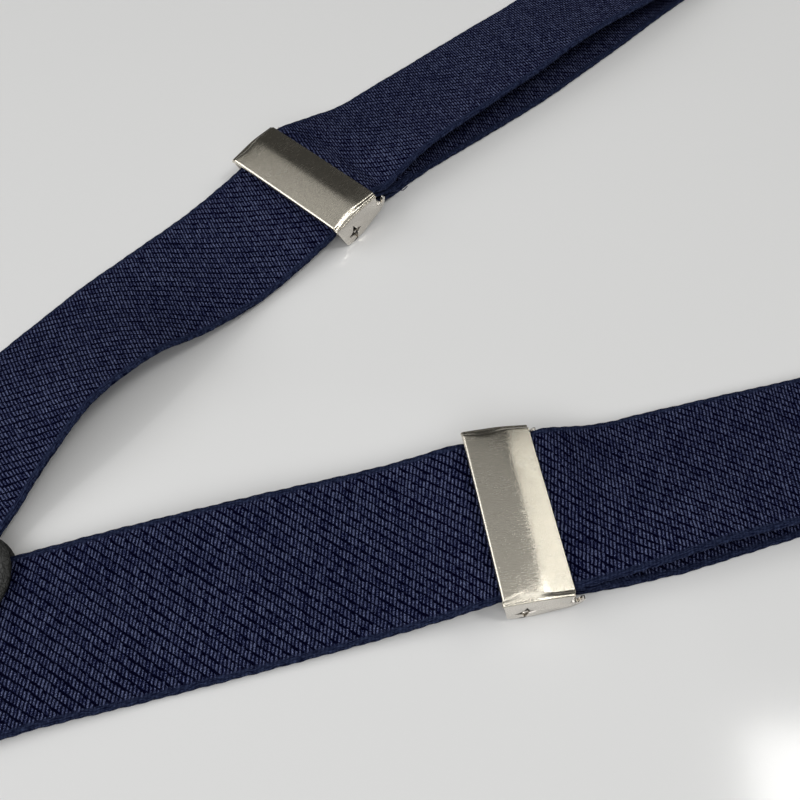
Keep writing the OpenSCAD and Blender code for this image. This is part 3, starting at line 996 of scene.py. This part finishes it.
def end_roll(x, y):
    """How far the cover's end turns down and flares out again near its rim. The turn is
    widest on the front half."""
    d = COVER_HALF_W - abs(y)
    wide = 1.15 + 1.1 * exp(-((x + 2.6) / 3.2) ** 2)
    t = min(1, max(0, (wide - d) / (wide - 0.45)))
    return -0.6 * t * t * (3 - 2 * t)


def make_cover(side):
    """Creased cover with rolled ends, front lip, toothed bite and hinge tabs."""
    front, rear = 0.62, 0.22
    outer = [(-COVER_HALF_L + 0.04, 6.9), (-COVER_HALF_L, 7.0), (-COVER_HALF_L, COVER_Z - front)]
    slope = cover_height(-COVER_HALF_L + front)
    outer += arc(-COVER_HALF_L + front, slope - front, front, 178, 96, 9)
    xs = np.concatenate([np.linspace(-COVER_HALF_L + front + 0.1, -1.6, 9), np.linspace(-1.2, 2.4, 13),
                         np.linspace(2.9, COVER_HALF_L - rear - 0.05, 7)])
    outer += [(x, cover_height(x)) for x in xs]
    outer += arc(COVER_HALF_L - rear, cover_height(COVER_HALF_L - rear) - rear, rear, 80, 0, 5)
    outer.append((COVER_HALF_L, COVER_Z - 0.42))
    inner = [(COVER_HALF_L - 0.06, COVER_Z - SKIN + 0.02), (COVER_HALF_L - 0.25, COVER_Z - SKIN)]
    inner += [(x, cover_height(x) - SKIN) for x in np.linspace(6.6, -6.2, 16)]
    inner += [(-COVER_HALF_L + SKIN, COVER_Z - SKIN - 0.25), (-COVER_HALF_L + SKIN, 7.0),
              (-COVER_HALF_L + SKIN - 0.06, 6.9)]
    loop = outer + inner
    n = len(loop)
    span = [COVER_HALF_W - d for d in (0.0, 0.05, 0.14, 0.27, 0.45, 0.65, 0.85, 1.05, 1.25, 1.5, 1.8,
                                       2.2, 2.8, 4.5)]
    ys = span + list(np.linspace(13, -13, 14)) + [-y for y in span[::-1]]
    vertices, maps = [], []
    lengths = np.concatenate([[0], np.cumsum([dist(a, b) for a, b in zip(loop, loop[1:])])])
    for y in ys:
        d = COVER_HALF_W - abs(y)
        rim = 0.16 * (1 - sqrt(max(0, 1 - (1 - min(d, 0.27) / 0.27) ** 2)))
        for k, (x, z) in enumerate(loop):
            shrink = 1 - 0.018 * (rim / 0.16)
            drop = end_roll(x, y) + cover_height(x, y) - cover_height(x)
            if z < 7.15:
                drop *= 0.35
            vertices.append((x * shrink, y, z + drop + (rim if k >= len(outer) else -rim)))
    faces = []
    for i in range(len(ys) - 1):
        for k in range(n):
            j = (k + 1) % n
            faces.append((i * n + k, i * n + j, (i + 1) * n + j, (i + 1) * n + k))
            far = lengths[j] if j else lengths[k]
            maps += [(lengths[k], ys[i]), (far, ys[i]), (far, ys[i + 1]), (lengths[k], ys[i + 1])]
    faces += [tuple(range(n))[::-1], tuple(range((len(ys) - 1) * n, len(ys) * n))]
    maps += [(reach, ys[0]) for reach in lengths[::-1]] + [(reach, ys[-1]) for reach in lengths]
    place = adjuster_layout(side)
    sheet = new_object(side + "_cover_sheet", vertices, faces, place)
    flat_map(sheet, "brush", maps)
    shade(sheet, 50)

    bite = [(-7.2, 7.5), (-6.2, 7.6), (-2.8, 5.8), (-3.1, 5.35), (-3.7, 5.5), (-7.0, 7.1)]
    tooth = [(-3.75, 5.52), (-3.1, 5.37), (-2.85, 5.75), (-2.6, 5.2), (-3.3, 5.0)]
    solids = [prism(bite, -17.0, 17.0)]
    pitch = 1.6
    for i in range(21):
        y = (i - 10) * pitch
        solids.append(prism(tooth, y - 0.42, y + 0.42))
    tab = [(-6.9, 7.5), (-6.85, 6.3), (-6.3, 5.85), (-5.75, 6.2), (-4.6, 7.6)]
    for sign in (-1, 1):
        low, high = sorted((sign * 17.65, sign * 18.0))
        solids.append(prism(tab, low, high))
    inside = new_object(side + "_cover_bite", *merged(*solids), place, smooth=False)
    recalculate(inside)
    bevel(inside, 0.06, 1)
    inside.data.uv_layers.new(name="brush")
    finish_piece(inside, PLATE, side + "_adjuster_cover")
    finish_piece(sheet, COVER, side + "_adjuster_cover", [side + "_adjuster_cover"])


def star(radius, waist, spikes=4, turn=5):
    """Outline of a star-shaped punch mark in (x, z)."""
    points = []
    for i in range(2 * spikes):
        r = radius if i % 2 == 0 else waist
        a = radians(turn + 180 * i / spikes)
        points.append((r * cos(a), r * sin(a)))
    return points


SUPPORT = (-1.8, 2.4)
EAR_OUTLINE = [(-6.7, 7.15), (-7.0, 6.7), (-7.05, 6.3), (-5.5, 1.1), (-5.15, 0.45), (-4.55, 0.05),
               (-3.6, 0), (0.5, 0), (2.8, 0.5), (5, 1.1), (8, 1.7), (9.0, 2.3), (9.7, 3.3), (10.1, 4.3),
               (10.0, 4.75), (9.65, 4.95), (9.35, 4.8), (9.1, 4.3), (8.85, 3.7), (8.6, 3.3), (8.25, 3.05),
               (7.75, 2.95), (7.35, 3.1), (7.1, 3.5), (7.05, 4.2), (7.05, 6.9), (6.85, 7.15)]


def cut(piece, cutter):
    """Takes the cutter's volume out of a piece."""
    modifier = piece.modifiers.new("cut", "BOOLEAN")
    modifier.operation = "DIFFERENCE"
    modifier.solver = "EXACT"
    modifier.object = cutter
    apply_modifiers(piece)
    bpy.data.objects.remove(cutter)


def joined(name, parts):
    """Several pieces as one."""
    mesh = bmesh.new()
    for part in parts:
        mesh.from_mesh(part.data)
        bpy.data.objects.remove(part)
    piece = new_object(name, [], [])
    mesh.to_mesh(piece.data)
    mesh.free()
    shade(piece)
    return piece


EAR_TOP = 7.15
LEAN = tan(radians(7))


def leaning(name, outline, low, high, sign, place):
    """A prism that leans outward towards its foot, as an ear does."""
    vertices, faces = prism(outline, low, high)
    vertices = [(x, y + sign * (EAR_TOP - z) * LEAN, z) for x, y, z in vertices]
    return new_object(name, vertices, faces, place, smooth=False)


def make_frame(side):
    """Stamped frame: two ears with hooks for the sewn bar, star punches and the base plate."""
    place = adjuster_layout(side)
    plate = [(-4.6, 0), (0.5, 0), (0.5, 0.8), (-4.6, 0.8)]
    base = new_object("base", *prism(plate, -EAR_IN - 1.1, EAR_IN + 1.1), place, smooth=False)
    parts = [bevel(recalculate(base), 0.12, 2)]
    for sign in (-1, 1):
        low, high = sorted((sign * EAR_IN, sign * EAR_OUT))
        ear = recalculate(leaning("ear", EAR_OUTLINE, low, high, sign, place))
        outline = [(SUPPORT[0] + x, SUPPORT[1] + z) for x, z in star(2.35, 0.95)]
        low, high = sorted((sign * (EAR_IN - 0.3), sign * (EAR_OUT + 0.5)))
        cut(ear, recalculate(leaning("cutter", outline, low, high, sign, place)))
        parts.append(bevel(ear, 0.15, 2))
    piece = joined(side + "_frame_stamping", parts)
    finish_piece(piece, PLATE, side + "_adjuster", [side + "_adjuster_frame"])

    def rod(name, at, radius, reach, node, neck, tip):
        out = (EAR_TOP - at[1]) * LEAN
        end = [(EAR_IN - 0.05, radius), (EAR_IN, neck), (reach + out - 0.15, neck), (reach + out, tip)]
        stations = [(-y, r) for y, r in end[::-1]] + [(y, r) for y, r in end]
        sides = 24
        turns = [2 * pi * k / sides for k in range(sides)]
        vertices = [(at[0] + r * cos(a), y, at[1] + r * sin(a))
                    for y, r in stations for a in turns]
        faces = skin(len(stations), sides)
        made = recalculate(new_object(name, vertices, faces, place))
        shade(made, 50)
        finish_piece(made, PLATE, side + "_adjuster", [node])

    rod(side + "_support_rod", SUPPORT, 0.9, EAR_OUT - 0.1, side + "_adjuster_support", 0.4, 0.2)
    rod(side + "_rear_bar", SEWN_BAR, 0.8, EAR_OUT + 0.1, side + "_adjuster_sewn_bar", 0.78, 0.6)


for side in SIDES:
    make_cover(side)
    make_frame(side)


# ---- clips

def record_slot(node):
    return next(s["material_slot"] for s in frame["record"]["subparts"] if s["node"] == node)


def rounded_copy(node, name, material, width):
    """A CAD part's own shape with its hard edges rounded."""
    source = frame["nodes"][node]
    piece = in_scene(name, source.data.copy())
    mesh = bmesh.new()
    mesh.from_mesh(piece.data)
    bmesh.ops.remove_doubles(mesh, verts=mesh.verts, dist=2e-6)
    bmesh.ops.dissolve_limit(mesh, angle_limit=radians(2), verts=mesh.verts, edges=mesh.edges)
    mesh.to_mesh(piece.data)
    mesh.free()
    bevel(piece, width, 2, 32)
    return finish_piece(piece, material, source["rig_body"], [node])


# Each of a clip's nodes, with its piece's name, its material and the radius of its edges
CLIP_PIECES = (("back", "back_plate", PLATE, 0.14), ("lever", "lever_shell", PLATE, 0.22),
               ("strap_bar", "bar", PLATE, 0.2), ("pin", "pin", PLATE, 0.15),
               ("back_pad", "ribbed_pad", NYLON, 0.1), ("cam_pad", "toothed_pad", NYLON, 0.06))
for clip in (*FRONT_CLIP.values(), *REAR_CLIP.values()):
    for node, name, material, width in CLIP_PIECES:
        rounded_copy(f"{clip}_clip_{node}", f"{clip}_{name}", material, width)

for name, node in frame["nodes"].items():
    if not node.hide_render:
        paint(node, SLOT_MATERIALS[record_slot(name)])


# ---- studio

def glossy_table():
    g = Graph("glossy_table")
    place = g.place()
    smudge = g.noise(place, 9.0, 4.0, 0.6)
    rough = g.add(0.07, g.mul(smudge, 0.09))
    return g.set(Base_Color=rgb(0.795, 0.797, 0.793), Roughness=rough, Specular_IOR_Level=0.5)


def make_table():
    reach = 2000
    corners = [(-reach, -reach, 0), (reach, -reach, 0), (reach, reach, 0), (-reach, reach, 0)]
    table = new_object("table", corners, [(0, 1, 2, 3)])
    table.location.z = -0.05 * MM
    paint(table, glossy_table())


VIEW_FROM = (85.5, -89.0, 160.6)
VIEW_HEADING = 54.6
VIEW_DOWN = 60.9


def make_camera():
    """The photograph's view: close, from above, looking along the straps' left side."""
    data = bpy.data.cameras.new("camera")
    data.lens = 36.0
    data.sensor_width = 36.0
    data.clip_start = 0.01
    camera = in_scene("camera", data)
    camera.location = Vector(VIEW_FROM) * MM
    down = radians(VIEW_DOWN)
    forward = unit(VIEW_HEADING) * cos(down) - UP * sin(down)
    camera.rotation_euler = forward.to_track_quat("-Z", "Y").to_euler()
    bpy.context.scene.camera = camera


LIT_POINT = (125, -5, 0)


def make_panel(name, azimuth, elevation, distance, width, height, radiance, tint=(1, 1, 1)):
    """Soft light at a bearing right of the view and an elevation, aimed at the straps."""
    data = bpy.data.lights.new(name, "AREA")
    data.shape = "RECTANGLE"
    data.size = width
    data.size_y = height
    data.energy = radiance * pi * width * height
    data.color = tint
    lamp = in_scene(name, data)
    up = radians(elevation)
    direction = unit(VIEW_HEADING - azimuth) * cos(up) + UP * sin(up)
    target = Vector(LIT_POINT) * MM
    lamp.location = target + direction * distance
    lamp.rotation_euler = direction.to_track_quat("Z", "Y").to_euler()


def make_studio():
    make_panel("ceiling", -90, 78, 1.4, 1.6, 2.0, 0.40)
    make_panel("ceiling_left", -43, 56, 2.4, 0.8, 0.5, 0.44, (1.0, 0.98, 0.93))
    make_panel("lamp_right", 94, 60, 2.4, 0.52, 0.56, 11.0, (1.0, 0.99, 0.97))
    make_panel("window_right", 62, 37.5, 2.4, 1.15, 0.62, 2.8, (1.0, 0.99, 0.95))
    make_panel("window_left", -100, 33, 2.4, 2.8, 1.6, 2.7, (0.99, 0.99, 1.0))
    make_panel("room_behind", 178, 44, 2.4, 2.4, 1.5, 1.75)
    world = bpy.data.worlds.new("studio")
    world.use_nodes = True
    world.node_tree.nodes["Background"].inputs[0].default_value = (1.0, 0.98, 0.93, 1)
    world.node_tree.nodes["Background"].inputs[1].default_value = 0.04
    bpy.context.scene.world = world
    bpy.context.scene.view_settings.view_transform = "Standard"


make_camera()
make_table()
make_studio()
